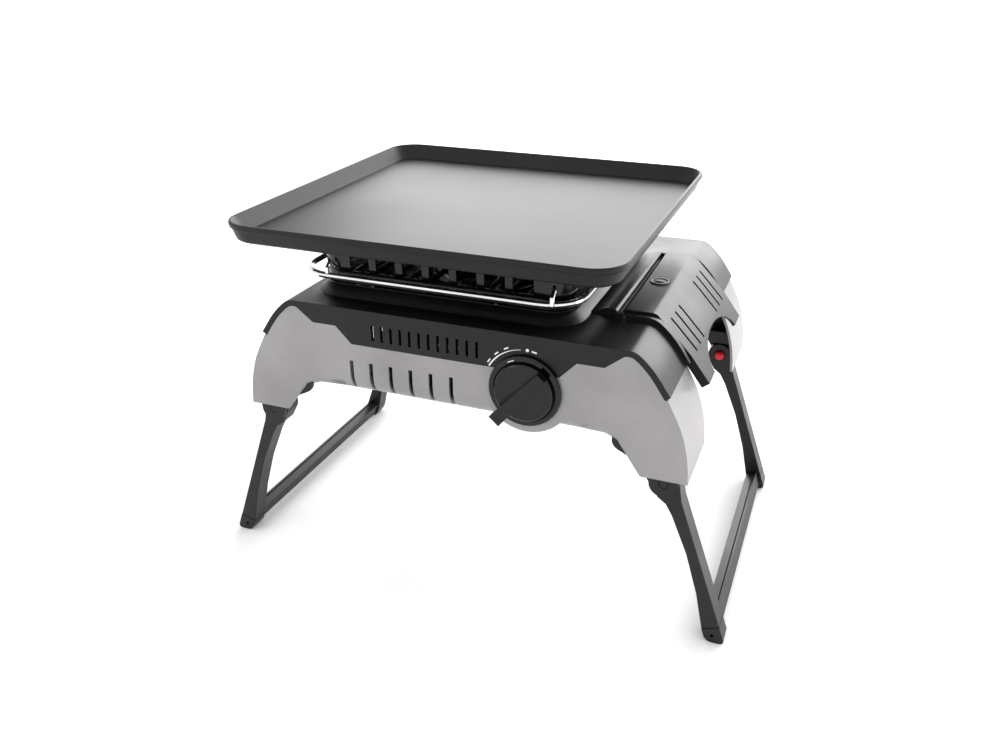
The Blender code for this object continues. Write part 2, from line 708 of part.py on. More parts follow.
def build_pan_support(finish):
    centre = (BURNER_X, 0)
    foot_x = OPENING_HALF_X + 0.0045
    foot_y = OPENING_HALF_Y + 0.0045
    top_x = foot_x + SUPPORT_FLARE - 0.002
    top_y = foot_y + SUPPORT_FLARE - 0.004
    sheet = SUPPORT_SHEET
    foot = SUPPORT_FOOT
    top = SUPPORT_TOP
    levels = [
        (foot_x, foot_y, foot),
        (foot_x, foot_y, foot + 0.006),
        (top_x, top_y, top - 0.003),
        (top_x + 0.004, top_y + 0.004, top - 0.003),
        (top_x + 0.004, top_y + 0.004, top),
        (top_x - 0.010, top_y - 0.010, top),
        (top_x - 0.010, top_y - 0.010, top - sheet),
        (top_x - sheet, top_y - sheet, top - 0.003 - sheet / 2),
        (foot_x - sheet, foot_y - sheet, foot + 0.006),
        (foot_x - sheet, foot_y - sheet, foot),
    ]
    support = shape(loft(rectangle_rings(centre, 0.028, levels), closed=True))
    low = foot + 0.0115
    high = top - 0.011
    span_x = foot_x - 0.028
    span_y = foot_y - 0.028
    pitch_x = 2 * span_x / WINDOW_COUNT
    pitch_y = 2 * span_y / WINDOW_COUNT
    for i in range(WINDOW_COUNT):
        x = BURNER_X - span_x + pitch_x * (i + 0.5)
        half = pitch_x / 2 - 0.0035
        cut(support, box((x - half, -0.2, low), (x + half, 0.2, high)))
        y = -span_y + pitch_y * (i + 0.5)
        half = pitch_y / 2 - 0.0035
        cut(support, box((BURNER_X - 0.2, y - half, low), (BURNER_X + 0.2, y + half, high)))
    for i in range(1, WINDOW_COUNT, 2):
        x = BURNER_X - span_x + pitch_x * (i + 0.5)
        half = pitch_x / 2
        cut(support, box((x - half, -0.2, foot - 0.01), (x + half, 0.2, foot + 0.0045)))
        y = -span_y + pitch_y * (i + 0.5)
        half = pitch_y / 2
        cut(support, box((BURNER_X - 0.2, y - half, foot - 0.01), (BURNER_X + 0.2, y + half, foot + 0.0045)))
    return finished(support, "pan_support", finish, (BURNER_X, 0, foot))


def build_ring(finish):
    half_x = OPENING_HALF_X + 0.018
    half_y = OPENING_HALF_Y + 0.0135
    height = TOP_Z + RING_HEIGHT
    points = rounded_rectangle(half_x, half_y, 0.032, 7)
    middle = BURNER_X + GRIDDLE_OFFSET
    path = [(middle + x, y, height) for x, y in points]
    ring = shape(swept(path, RING_WIRE_RADIUS, 10, closed=True))
    wall = OPENING_HALF_X + 0.0045 + 0.0012
    for sx in (-1, 1):
        for sy in (-1, 1):
            start = (middle + sx * half_x, sy * 0.075, height)
            end = (BURNER_X + sx * wall, sy * 0.075, height)
            add(ring, swept([start, end], STUD_RADIUS, 8))
    for sx in (-1, 1):
        for sy in (-1, 1):
            x = BURNER_X + sx * 0.106
            side = OPENING_HALF_Y + 0.0045 + 0.0035
            post = [(x, sy * half_y, height), (x, sy * half_y, height + 0.007), (x, sy * side, height + 0.0115)]
            add(ring, swept(post, STUD_RADIUS, 8))
    return finished(ring, "wind_ring", finish, (BURNER_X, 0, height))


def build_grate(finish):
    """A lift-out grid of flat bars standing in the pan support."""
    low = SUPPORT_FOOT
    high = low + 0.006
    half_x = OPENING_HALF_X + 0.0005
    half_y = OPENING_HALF_Y + 0.0005
    sheet = 0.0025
    outer = [(half_x, half_y, low), (half_x, half_y, high)]
    inner = [(half_x - sheet, half_y - sheet, high), (half_x - sheet, half_y - sheet, low)]
    grate = shape(loft(rectangle_rings((BURNER_X, 0), 0.020, outer + inner), closed=True))
    gap = 0.060
    for i in range(-5, 6):
        x = BURNER_X + i * 0.019
        reach = math.sqrt(max(gap**2 - (i * 0.019) ** 2, 0))
        if abs(i) > 3:
            end = half_y - 0.001
            add(grate, box((x - 0.0013, -end, low + 0.001), (x + 0.0013, end, high - 0.0005)))
            continue
        for sy in (-1, 1):
            ends = sorted((sy * (reach + 0.001), sy * (half_y - 0.001)))
            add(grate, box((x - 0.0013, ends[0], low + 0.001), (x + 0.0013, ends[1], high - 0.0005)))
    hub = [(gap + 0.003, low), (gap + 0.003, high), (gap - 0.001, high), (gap - 0.001, low)]
    add(grate, turned((BURNER_X, 0), hub, "Z", 36, closed=True))
    return finished(grate, "grate", finish, (BURNER_X, 0, low))


def build_griddle(finish):
    top = GRIDDLE_TOP
    bottom = GRIDDLE_BOTTOM
    hx = GRIDDLE_WIDTH / 2
    hy = GRIDDLE_DEPTH / 2
    deck = top - GRIDDLE_RECESS - 0.003
    levels = [
        (hx - 0.0085, hy - 0.0085, bottom),
        (hx - 0.0055, hy - 0.0055, bottom + 0.0020),
        (hx - 0.0020, hy - 0.0020, top - 0.0058),
        (hx - 0.0004, hy - 0.0004, top - 0.0050),
        (hx, hy, top - 0.0015),
        (hx - 0.0008, hy - 0.0008, top),
        (hx - 0.0030, hy - 0.0030, top),
        (hx - 0.0038, hy - 0.0038, top - 0.0012),
        (hx - 0.0090, hy - 0.0090, deck + 0.0030),
        (hx - 0.0120, hy - 0.0120, deck),
    ]
    griddle = shape(loft(rectangle_rings((GRIDDLE_X, 0), GRIDDLE_CORNER, levels, 7)))
    return finished(griddle, "griddle_plate", finish, (GRIDDLE_X, 0, bottom))


def build_burner(steel, iron):
    centre = (BURNER_X, 0)
    base = PLINTH_TOP - 0.030
    r = BURNER_RADIUS
    cup = [
        (0.014, base - 0.022),
        (0.014, base - 0.004),
        (0.030, base),
        (r, base + 0.010),
        (r, base + 0.016),
        (r - 0.003, base + 0.016),
        (r - 0.003, base + 0.0115),
        (0.030, base + 0.0025),
        (0.0115, base - 0.0015),
        (0.0115, base - 0.0195),
        (0.004, base - 0.0195),
    ]
    body = shape(turned(centre, cup, "Z", 32))
    port = cylinder((0, base - 0.0135), MIXER_RADIUS - 0.001, "X", BURNER_X, BURNER_X + 0.03, 20)
    cut(body, port)
    finished(body, "burner_body", iron, (BURNER_X, 0, base))

    seat = base + 0.016 + CLEARANCE
    cap = shape(
        turned(
            centre,
            [
                (r - 0.0035, seat - 0.003),
                (r - 0.0035, seat),
                (r + 0.001, seat),
                (r + 0.001, seat + 0.006),
                (r - 0.006, seat + 0.009),
                (0.022, seat + 0.010),
                (0.018, seat + 0.006),
                (0.010, seat + 0.006),
                (0.010, seat - 0.0005),
                (r - 0.0075, seat - 0.0005),
                (r - 0.0075, seat - 0.003),
            ],
            "Z",
            32,
            closed=True,
        )
    )
    for i in range(16):
        angle = math.tau * (i + 0.5) / 16
        out = Vector((math.cos(angle), math.sin(angle)))
        across = Vector((-out.y, out.x)) * 0.0014
        hub = Vector((BURNER_X, 0))
        ends = (hub + out * (r - 0.0055), hub + out * (r + 0.004))
        slot = [ends[0] - across, ends[1] - across, ends[1] + across, ends[0] + across]
        cut(cap, prism([tuple(point) for point in slot], "Z", seat - 0.005, seat + 0.0026))
    finished(cap, "burner_cap", steel, (BURNER_X, 0, seat))

    level = base - 0.0135
    start = (BURNER_X + 0.0145 + CLEARANCE, 0, level)
    jet = (KNOB_X, -0.046, level)
    bend = (BURNER_X + 0.060, 0.0, level)
    turn = (KNOB_X - 0.010, -0.010, level)
    route = smooth_route([start, bend, turn, (KNOB_X, -0.026, level), jet], 3)
    tube = shape(swept(route, MIXER_RADIUS, 12, MIXER_RADIUS - 0.0015))
    finished(tube, "mixer_tube", steel, start)
    return base, jet


def build_burner_bracket(base, finish):
    top = base - 0.022 - CLEARANCE
    foot = FLOOR_Z
    sheet = 0.002
    strap = [
        (-0.034, foot),
        (-0.034, foot + sheet),
        (-0.022, foot + sheet),
        (-0.022, top),
        (0.022, top),
        (0.022, foot + sheet),
        (0.034, foot + sheet),
        (0.034, foot),
        (0.020, foot),
        (0.020, top - sheet),
        (-0.020, top - sheet),
        (-0.020, foot),
    ]
    make("burner_bracket", prism(strap, "X", BURNER_X - 0.012, BURNER_X + 0.012), finish)


# --------------------------------------------------------------------- gas train
def build_gas_train(base, jet, finishes):
    black, gloss, brass, steel, white, copper, rubber = finishes
    place = (KNOB_X, KNOB_Z)
    face = -HALF_DEPTH
    r = BEZEL_RADIUS
    plate = [
        (r - 0.0008, face - CLEARANCE),
        (r, face - 0.0012),
        (r, face - 0.0030),
        (r - 0.0012, face - 0.0042),
        (KNOB_RADIUS + 0.0014, face - 0.0042),
        (KNOB_RADIUS + 0.0008, face - 0.0034),
        (0.0045, face - 0.0034),
        (0.0045, face - CLEARANCE),
    ]
    make("dial_plate", turned(place, plate, "Y", 40, closed=True), gloss, (KNOB_X, face, KNOB_Z))

    seat = face - 0.0038
    kr = KNOB_RADIUS
    disc = [
        (kr, seat),
        (kr, seat - 0.0030),
        (kr - 0.0012, seat - 0.0040),
        (0.004, seat - 0.0040),
    ]
    knob = shape(turned(place, disc, "Y", 40))
    along = (math.cos(LEVER_ANGLE), math.sin(LEVER_ANGLE))
    side = (-along[1], along[0])
    lever = [
        (-LEVER_TAIL, 0.0010, 0.82),
        (-LEVER_TAIL + 0.0015, 0.0075, 0.72),
        (-0.012, 0.0105, 0.80),
        (0.010, 0.0130, 0.90),
        (LEVER_REACH - 0.0015, 0.0168, 1.0),
        (LEVER_REACH, 0.0153, 1.0),
        (LEVER_REACH, 0.0065, 0.95),
        (LEVER_REACH - 0.010, 0.0045, 0.92),
        (0.018, 0.0010, 0.90),
    ]
    rings = []
    for sign in (-1, 1):
        ring = []
        for u, h, share in lever:
            w = sign * LEVER_WIDTH / 2 * share
            x = KNOB_X + u * along[0] + w * side[0]
            z = KNOB_Z + u * along[1] + w * side[1]
            ring.append(Vector((x, seat - 0.0025 - h, z)))
        rings.append(ring)
    add(knob, loft(rings))
    cut(knob, cylinder(place, SPINDLE_RADIUS + CLEARANCE, "Y", seat - 0.0085, seat + 0.01, 20))
    finished(knob, "control_knob", gloss, (KNOB_X, seat, KNOB_Z))

    valve_front = face + 0.024
    valve_back = face + 0.058
    spindle = cylinder(place, SPINDLE_RADIUS, "Y", seat - 0.0080, valve_front + 0.0105, 20)
    make("valve_spindle", spindle, brass, (KNOB_X, seat, KNOB_Z))
    outlet_z = jet[2]
    low = (KNOB_X - 0.013, valve_front + 0.004, KNOB_Z - 0.015)
    valve = shape(box(low, (KNOB_X + 0.013, valve_back, outlet_z + 0.0065)))
    add(valve, cylinder(place, 0.009, "Y", valve_front, valve_front + 0.010, 24))
    flange = rounded_rectangle(0.019, 0.012, 0.004, 3)
    flange = [(KNOB_X + x, KNOB_Z + z) for x, z in flange]
    add(valve, prism(flange, "Y", valve_front + 0.003, valve_front + 0.006))
    inlet_y = valve_back - 0.009
    inlet_z = KNOB_Z - 0.009
    add(valve, cylinder((inlet_y, inlet_z), 0.006, "X", KNOB_X + 0.012, KNOB_X + 0.020, 16))
    cut(valve, cylinder((inlet_y, inlet_z), 0.0034, "X", KNOB_X + 0.010, KNOB_X + 0.030, 16))
    bore = cylinder(place, SPINDLE_RADIUS + CLEARANCE, "Y", valve_front - 0.01, valve_front + 0.011, 20)
    cut(valve, bore)
    cut(valve, cylinder((KNOB_X, outlet_z), 0.0035, "Y", valve_back - 0.008, valve_back + 0.01, 16))
    finished(valve, "valve_body", brass, (KNOB_X, valve_front, KNOB_Z))

    nozzle = [
        (0.0032, valve_back - 0.0075),
        (0.0032, valve_back + CLEARANCE),
        (0.0055, valve_back + CLEARANCE),
        (0.0055, valve_back + 0.008),
        (0.0035, valve_back + 0.010),
        (0.0030, jet[1] - 0.004),
        (0.0020, jet[1] - 0.002),
    ]
    make("injector", turned((KNOB_X, outlet_z), nozzle, "Y", 16), brass)

    low = (KNOB_X - 0.038, valve_front + 0.004, KNOB_Z - 0.010)
    case = shape(box(low, (KNOB_X - 0.020, valve_front + 0.040, KNOB_Z + 0.010)))
    add(case, cylinder((KNOB_X - 0.029, KNOB_Z), 0.004, "Y", valve_front + 0.039, valve_front + 0.048, 14))
    finished(case, "igniter_unit", white)

    angle = math.radians(-62)
    ex = BURNER_X + 0.0535 * math.cos(angle)
    ey = 0.0535 * math.sin(angle)
    rod = [
        (0.0012, base - 0.012),
        (0.0030, base - 0.0115),
        (0.0030, base - 0.002),
        (0.0024, base - 0.0015),
        (0.0024, base + 0.020),
        (0.0009, base + 0.0205),
        (0.0009, base + 0.027),
    ]
    make("spark_electrode", turned((ex, ey), rod, "Z", 16), white)

    start = (KNOB_X - 0.029, valve_front + 0.0485, KNOB_Z)
    route = [
        start,
        (KNOB_X - 0.030, valve_front + 0.058, KNOB_Z - 0.004),
        (KNOB_X - 0.050, valve_front + 0.064, KNOB_Z - 0.014),
        (ex + 0.006, ey - 0.004, base - 0.028),
        (ex, ey, base - 0.0125),
    ]
    make("igniter_lead", swept(smooth_route(route, 3), 0.0013, 6), rubber)

    reg_y = -HALF_DEPTH + 0.024
    reg_x = CARTRIDGE_X
    reg_z = CARTRIDGE_Z
    body = [
        (REGULATOR_RADIUS - 0.004, reg_y),
        (REGULATOR_RADIUS, reg_y + 0.003),
        (REGULATOR_RADIUS, reg_y + 0.012),
        (REGULATOR_RADIUS + 0.002, reg_y + 0.013),
        (REGULATOR_RADIUS + 0.002, reg_y + 0.017),
        (REGULATOR_RADIUS - 0.002, reg_y + 0.018),
        (REGULATOR_RADIUS - 0.004, reg_y + 0.024),
        (0.013, reg_y + 0.026),
        (0.013, reg_y + 0.034),
        (0.008, reg_y + 0.034),
        (0.008, reg_y + 0.028),
    ]
    regulator = shape(turned((reg_x, reg_z), body, "Y", 24))
    out_y = reg_y + 0.008
    side = reg_x - REGULATOR_RADIUS
    add(regulator, cylinder((out_y, reg_z), 0.006, "X", side - 0.007, side + 0.004, 16))
    cut(regulator, cylinder((out_y, reg_z), 0.0034, "X", side - 0.02, side - 0.001, 16))
    finished(regulator, "pressure_regulator", brass, (reg_x, reg_y, reg_z))
    magnet = [
        (0.0185, reg_y + 0.0300),
        (0.0185, reg_y + 0.0360),
        (0.0134, reg_y + 0.0360),
        (0.0134, reg_y + 0.0300),
    ]
    make("cartridge_magnet", turned((reg_x, reg_z), magnet, "Y", 28, closed=True), steel)

    pipe = [
        (reg_x - REGULATOR_RADIUS - 0.0015, out_y, reg_z),
        (reg_x - REGULATOR_RADIUS - 0.0080, out_y, reg_z),
        (reg_x - REGULATOR_RADIUS - 0.0110, out_y, reg_z),
        (reg_x - REGULATOR_RADIUS - 0.0220, (out_y + inlet_y) / 2, (reg_z + inlet_z) / 2),
        (KNOB_X + 0.0240, inlet_y, inlet_z),
        (KNOB_X + 0.0210, inlet_y, inlet_z),
        (KNOB_X + 0.0110, inlet_y, inlet_z),
    ]
    make("gas_pipe", swept(smooth_route(pipe, 3), 0.0030, 8, 0.0020), copper)


def build_bay(sheet_steel):
    centre = (CARTRIDGE_X, CARTRIDGE_Z)
    outer = arc(centre, CARTRIDGE_RADIUS + 0.0025, 200, 322, 12)
    inner = arc(centre, CARTRIDGE_RADIUS + 0.0012, 322, 200, 12)
    cradle = shape(prism(outer + inner, "Y", -0.084, 0.090))
    foot = box((LID_X - 0.0040, -0.060, FLOOR_TOP + CLEARANCE), (LID_X + 0.0110, 0.070, FLOOR_TOP + 0.0040))
    add(cradle, foot)
    under = CARTRIDGE_Z - CARTRIDGE_RADIUS
    rib = [(LID_X - 0.0040, FLOOR_TOP + 0.001), (LID_X + 0.0110, FLOOR_TOP + 0.001),
           (LID_X + 0.0110, under + 0.0005), (LID_X - 0.0040, under + 0.0090)]
    for y in (-0.060, 0.000, 0.060):
        add(cradle, prism(rib, "Y", y, y + 0.003))
    finished(cradle, "cartridge_cradle", sheet_steel)

    x = PLINTH_RIGHT + 0.008
    sheet = 0.0012
    seat = FLOOR_TOP + CLEARANCE
    wall = [
        (x, seat),
        (x + 0.012, seat),
        (x + 0.012, seat + sheet),
        (x + sheet, seat + sheet),
        (x + sheet, TOP_Z - 0.0065),
        (x, TOP_Z - 0.0065),
    ]
    make("heat_partition", prism(wall, "Y", 0.064 - HALF_DEPTH, HALF_DEPTH - 0.022), sheet_steel)


def build_bottom_plate(finish, steel):
    half_y = HALF_DEPTH - PLATE_HALF_DEPTH_MARGIN
    top = FLOOR_Z - CLEARANCE
    outline = rounded_rectangle(PLATE_HALF_LENGTH, half_y, 0.012, 3)
    plate = shape(prism(outline, "Z", top - PLATE_SHEET, top))
    for x, y in plate_screw_places():
        cut(plate, cylinder((x, y), SCREW_HOLE_RADIUS, "Z", top - 0.01, top + 0.01, 12))
    for i in range(5):
        for sx in (-1, 1):
            y = -0.048 + i * 0.024
            x = sx * 0.062
            cut(plate, box((x - 0.020, y - 0.0015, top - 0.01), (x + 0.020, y + 0.0015, top + 0.01)))
    finished(plate, "bottom_plate", finish)
    under = top - PLATE_SHEET - CLEARANCE
    for number, (x, y) in enumerate(plate_screw_places(), 1):
        profile = [
            (SCREW_HEAD_RADIUS - 0.001, under - 0.0022),
            (SCREW_HEAD_RADIUS, under - 0.0012),
            (SCREW_HEAD_RADIUS, under),
            (SCREW_SHANK_RADIUS, under),
            (SCREW_SHANK_RADIUS, FLOOR_TOP + 0.002),
        ]
        screw = shape(turned((x, y), profile, "Z", 14))
        cut(screw, box((x - 0.01, y - 0.0005, under - 0.01), (x + 0.01, y + 0.0005, under - 0.0014)))
        finished(screw, "plate_screw_%d" % number, steel)


# -------------------------------------------------------------------------- legs
def leg_point(side, along, across):
    """A point in the plane of a leg, from its pivot; across is positive outward."""
    x = along * math.sin(LEG_SPLAY) + across * math.cos(LEG_SPLAY)
    z = -along * math.cos(LEG_SPLAY) + across * math.sin(LEG_SPLAY)
    return (side * (PIVOT_X + x), PIVOT_Z + z)


def leg_outline(side):
    end = LEG_LENGTH - FOOT_HEIGHT
    turn = 14
    head = []
    for i in range(turn + 1):
        angle = math.radians(-10 + 200 * i / turn)
        head.append((-LEG_HEAD_RADIUS * math.sin(angle), LEG_HEAD_RADIUS * math.cos(angle)))
    edge = [(0.014, -0.0105), (0.022, -0.0052), (0.034, -0.0030), (0.072, -0.0008), (0.112, -0.0026)]
    edge += [(end, -LEG_INSIDE), (end, LEG_OUTSIDE), (0.022, LEG_OUTSIDE)]
    return [leg_point(side, u, v) for u, v in head + edge]


def foot_outline(side):
    start = LEG_LENGTH - FOOT_HEIGHT + CLEARANCE
    points = [leg_point(side, start, -LEG_INSIDE), leg_point(side, start, LEG_OUTSIDE)]
    low = 0.004
    for across, steps in ((LEG_OUTSIDE, (low, 0.0012, 0.0)), (-LEG_INSIDE, (0.0, 0.0012, low))):
        for z in steps:
            along = (PIVOT_Z + across * math.sin(LEG_SPLAY) - z) / math.cos(LEG_SPLAY)
            x, _ = leg_point(side, along, across)
            inset = {low: 0.0, 0.0012: 0.0014, 0.0: 0.0040}[z] * (1 if across > 0 else -1)
            points.append((x - side * inset, z))
    return points


def build_corner(name, sx, sy, finishes):
    black, red = finishes
    pivot = (sx * PIVOT_X, PIVOT_Z)

    def prism_y(outline, near, far):
        low, high = sorted((sy * near, sy * far))
        return prism(outline, "Y", low, high)

    def disc_y(radius, near, far, steps):
        return prism_y(circle(pivot, radius, steps), near, far)

    origin = (sx * PIVOT_X, sy * (LEG_OUTER + LEG_INNER) / 2, PIVOT_Z)
    plate_low = BRACKET_OUTER - BRACKET_SHEET
    lobe = [(sx * (PIVOT_X + x), PIVOT_Z + z) for x, z in arc((0, 0), 0.0125, 180, 360, 12)]
    upper = [(0.0135, 0.010), (0.0125, 0.030), (0.0100, 0.046), (-0.030, 0.046)]
    upper += arc((-0.036, 0.034), 0.0100, 90, 250, 8) + [(-0.022, 0.016)]
    plate = lobe + [(sx * (PIVOT_X + x), PIVOT_Z + z) for x, z in upper]
    bracket = shape(prism_y(plate, BRACKET_OUTER, plate_low))
    block = [(-0.012, 0.0138), (0.0115, 0.0138), (0.0105, 0.027), (-0.012, 0.027)]
    block = [(sx * (PIVOT_X + x), PIVOT_Z + z) for x, z in block]
    combine(bracket, shape(prism_y(block, BRACKET_OUTER - 0.001, LEG_INNER)), "UNION")
    pin_hole = PIN_RADIUS + CLEARANCE
    hole = shape(disc_y(pin_hole, BRACKET_OUTER + 0.01, plate_low - 0.01, 18))
    combine(bracket, hole, "DIFFERENCE")
    finished(bracket, "leg_bracket_" + name, black)

    arm = shape(prism_y(leg_outline(sx), LEG_OUTER, LEG_INNER))
    combine(arm, shape(disc_y(pin_hole, LEG_OUTER + 0.01, LEG_INNER - 0.01, 18)), "DIFFERENCE")
    pocket = disc_y(BUTTON_RADIUS + CLEARANCE, LEG_INNER + 0.0078, LEG_INNER - 0.01, 20)
    combine(arm, shape(pocket), "DIFFERENCE")
    finished(arm, "leg_arm_" + name, black, origin)

    pin = disc_y(PIN_RADIUS, BRACKET_OUTER - 0.0002, LEG_INNER + 0.0082, 18)
    make("pivot_pin_" + name, pin, black, origin)

    r = BUTTON_RADIUS
    inner = LEG_INNER
    dome = [
        (r, inner + 0.0044),
        (r, inner - 0.0020),
        (r - 0.0006, inner - 0.0032),
        (r - 0.0018, inner - 0.0040),
        (r - 0.0036, inner - 0.0044),
    ]
    button = turned(pivot, [(radius, sy * y) for radius, y in dome], "Y", 20)
    make("release_button_" + name, button, red, origin)

    foot = shape(prism_y(foot_outline(sx), LEG_OUTER, LEG_INNER))
    x, z = leg_point(sx, LEG_LENGTH - 0.0075, 0.0)
    hole = prism_y(circle((x, z), 0.0016, 12), LEG_OUTER + 0.01, LEG_OUTER - 0.005)
    combine(foot, shape(hole), "DIFFERENCE")
    finished(foot, "foot_tip_" + name, black, origin)


def build_cross_bar(name, side, finish):
    start = LEG_LENGTH - 0.020
    end = LEG_LENGTH - 0.0065
    section = [
        (start, -0.0055),
        (start, 0.0022),
        (start + 0.0016, 0.0022),
        (start + 0.0016, 0.0034),
        (start, 0.0034),
        (start, 0.0055),
        (end, 0.0055),
        (end, -0.0055),
    ]
    outline = [leg_point(side, u, v) for u, v in section]
    reach = LEG_INNER - CLEARANCE
    make("cross_bar_" + name, prism(outline, "Y", -reach, reach), finish, (side * PIVOT_X, 0, PIVOT_Z))


# -------------------------------------------------------------------------- build
def main():
    for old in list(bpy.data.objects):
        bpy.data.objects.remove(old)

    silver = material("silver_paint", "b4b3b0", 0.45)
    moulding = material("black_moulding", "2b2a2b", 0.42)
    gloss = material("gloss_black", "151415", 0.18)
    nonstick = material("nonstick_coat", "1d1c1d", 0.42)
    enamel = material("black_enamel", "19191a", 0.20)
    legs = material("black_leg_paint", "3a3a3c", 0.40)
    chrome = material("chrome_wire", "d8dadc", 0.10, 1.0)
    steel = material("bright_steel", "b8babc", 0.30, 1.0)
    galvanised = material("galvanised_sheet", "a3a6a8", 0.42, 1.0)
    iron = material("cast_burner", "6c6a68", 0.55, 1.0)
    brass = material("valve_brass", "b98f4a", 0.30, 1.0)
    copper = material("pipe_copper", "b5704a", 0.30, 1.0)
    ceramic = material("white_ceramic", "e8e4da", 0.35)
    red = material("red_button", "c4202c", 0.35)
    rubber = material("lead_sleeve", "222222", 0.60)

    build_lower_shell(silver)
    build_top_cover(moulding)
    build_bottom_plate(galvanised, steel)
    build_lid(moulding)
    build_lid_parts(moulding, steel)
    build_drip_tray(enamel)
    build_pan_support(enamel)
    build_ring(chrome)
    build_grate(enamel)
    build_griddle(nonstick)
    base, jet = build_burner(steel, iron)
    build_burner_bracket(base, galvanised)
    build_gas_train(base, jet, (moulding, gloss, brass, steel, ceramic, copper, rubber))
    build_bay(galvanised)
    for corner, sx, sy in (
        ("front_left", -1, -1),
        ("front_right", 1, -1),
        ("rear_left", -1, 1),
        ("rear_right", 1, 1),
    ):
        build_corner(corner, sx, sy, (legs, red))
    build_cross_bar("left", -1, legs)
    build_cross_bar("right", 1, legs)


main()
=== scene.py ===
"""Looks of a portable camping stove with a griddle: finishes, printed marks, light, camera."""

import json
import math

import bmesh
import bpy
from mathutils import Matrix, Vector


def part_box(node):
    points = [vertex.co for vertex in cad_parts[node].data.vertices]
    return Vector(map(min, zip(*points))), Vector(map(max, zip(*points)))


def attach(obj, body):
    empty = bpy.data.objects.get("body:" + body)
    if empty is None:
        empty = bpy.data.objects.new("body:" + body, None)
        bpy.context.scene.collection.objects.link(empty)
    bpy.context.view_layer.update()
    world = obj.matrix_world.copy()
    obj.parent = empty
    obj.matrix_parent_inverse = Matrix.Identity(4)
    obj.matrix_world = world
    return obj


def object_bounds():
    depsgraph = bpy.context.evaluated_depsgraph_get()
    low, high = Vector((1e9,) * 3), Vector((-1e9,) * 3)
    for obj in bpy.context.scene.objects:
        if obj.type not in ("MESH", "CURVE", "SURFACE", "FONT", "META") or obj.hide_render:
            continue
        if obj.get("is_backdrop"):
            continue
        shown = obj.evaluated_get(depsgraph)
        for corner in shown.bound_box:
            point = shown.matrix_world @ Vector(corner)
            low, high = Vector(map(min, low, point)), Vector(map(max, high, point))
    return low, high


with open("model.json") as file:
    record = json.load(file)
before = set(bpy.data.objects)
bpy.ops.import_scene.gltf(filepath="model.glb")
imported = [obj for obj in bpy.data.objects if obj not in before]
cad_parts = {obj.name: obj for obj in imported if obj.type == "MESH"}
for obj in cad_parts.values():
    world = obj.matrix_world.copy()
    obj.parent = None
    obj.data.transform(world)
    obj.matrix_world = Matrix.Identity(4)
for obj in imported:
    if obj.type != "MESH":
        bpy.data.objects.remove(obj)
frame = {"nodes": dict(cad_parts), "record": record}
cad_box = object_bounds()
nodes = frame["nodes"]
MM = 0.001

# ---------------------------------------------------------------- camera and light
CAMERA_PLACE = (0.3069, -0.8309, 0.5754)
CAMERA_TILT = (math.radians(64.64), 0.0, math.radians(21.20))
CAMERA_LENS = 34.18
CAMERA_SENSOR = 36.0
ROOM_BRIGHTNESS = 0.92
PANEL_AIM = Vector((0.0, 0.0, 0.24))
# name: (place, (width, height), watts)
PANELS = {
    "front_left_panel": ((-1.3, -1.3, 1.2), (1.0, 0.8), 3),
    "back_panel": ((0.2, 1.8, 1.0), (3.2, 1.3), 42),
    "right_panel": ((1.7, 0.5, 0.8), (1.0, 0.9), 6),
}
FLOOR_HALF_WIDTH = 6.0
FLOOR_GAP = 0.5 * MM


def linear(hex_colour):
    """sRGB hex to linear RGBA."""
    channels = [int(hex_colour[i : i + 2], 16) / 255 for i in (0, 2, 4)]
    return [
        c / 12.92 if c <= 0.04045 else ((c + 0.055) / 1.055) ** 2.4 for c in channels
    ] + [1.0]


def soft_panel(name, place, size, watts):
    """A large soft studio panel that faces the stove and stays out of the camera's own view."""
    light = bpy.data.lights.new(name, "AREA")
    light.shape = "RECTANGLE"
    light.size, light.size_y = size
    light.energy = watts
    panel = bpy.data.objects.new(name, light)
    bpy.context.scene.collection.objects.link(panel)
    panel.location = place
    panel.rotation_euler = (PANEL_AIM - Vector(place)).to_track_quat("-Z", "Y").to_euler()
    panel.visible_camera = False


def set_stage():
    """Camera, bright white room, three soft panels and the card that the stove stands on."""
    camera = bpy.data.cameras.new("studio_camera")
    camera.lens = CAMERA_LENS
    camera.sensor_width = CAMERA_SENSOR
    holder = bpy.data.objects.new("studio_camera", camera)
    bpy.context.scene.collection.objects.link(holder)
    holder.location = CAMERA_PLACE
    holder.rotation_euler = CAMERA_TILT
    bpy.context.scene.camera = holder

    world = bpy.data.worlds.new("white_studio")
    world.use_nodes = True
    backdrop = world.node_tree.nodes["Background"]
    backdrop.inputs["Color"].default_value = linear("ffffff")
    backdrop.inputs["Strength"].default_value = ROOM_BRIGHTNESS
    bpy.context.scene.world = world
    bpy.context.scene.view_settings.view_transform = "Standard"
    bpy.context.scene.view_settings.look = "Medium High Contrast"

    for name, (place, size, watts) in PANELS.items():
        soft_panel(name, place, size, watts)

    bm = bmesh.new()
    w = FLOOR_HALF_WIDTH
    corners = ((-w, -w, 0), (w, -w, 0), (w, w, 0), (-w, w, 0))
    bm.faces.new([bm.verts.new(corner) for corner in corners])
    floor = finish_mesh(bm, "studio_floor", materials["floor_card"])
    floor.location.z = -FLOOR_GAP
    floor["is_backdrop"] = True


# ---------------------------------------------------------------------- materials
def add_node(tree, kind, settings=None, values=None, links=None):
    """Add one node: attributes, input values, and links given as input -> (node, output)."""
    node = tree.nodes.new(kind)
    for key, value in (settings or {}).items():
        setattr(node, key, value)
    for key, value in (values or {}).items():
        node.inputs[key].default_value = value
    for key, (source, output) in (links or {}).items():
        tree.links.new(source.outputs[output], node.inputs[key])
    return node


# How much the grain adds to the slow drift in a finish's colour.
GRAIN_SHARE = 0.4
